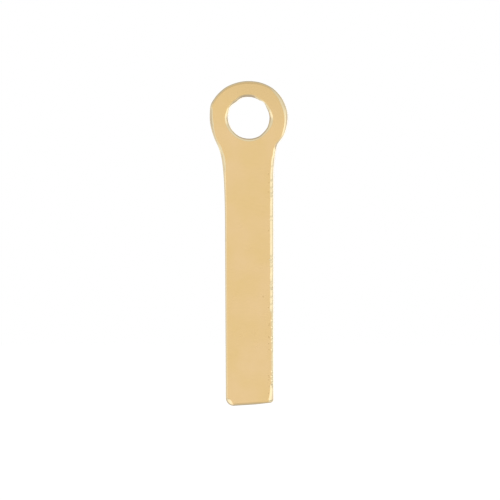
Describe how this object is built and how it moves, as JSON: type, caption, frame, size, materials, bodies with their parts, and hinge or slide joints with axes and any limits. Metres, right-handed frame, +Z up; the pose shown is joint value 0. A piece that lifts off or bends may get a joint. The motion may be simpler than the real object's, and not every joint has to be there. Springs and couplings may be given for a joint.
{
  "type": "alphabet letter charm",
  "caption": "Flat gold letter charm: a straight upright bar with a round eye at its top to hang it by.",
  "frame": {"origin": "centre of the hanging hole, halfway through the sheet", "axes": "+Z up, from the foot of the bar towards the eye; -Y out of the front face; +X to the right as seen from the front"},
  "size_m": [0.002, 0.0006, 0.0085],
  "materials": {
    "gold": "bonded layer of pale yellow gold, softly polished, with a fine satin waviness",
    "brass": "cut edge of the sheet, bright where the punch burnished it and duller where it broke through"
  },
  "bodies": {
    "root": {"brass_core": "brass", "front_gold_layer": "gold", "back_gold_layer": "gold"}
  },
  "joints": []
}
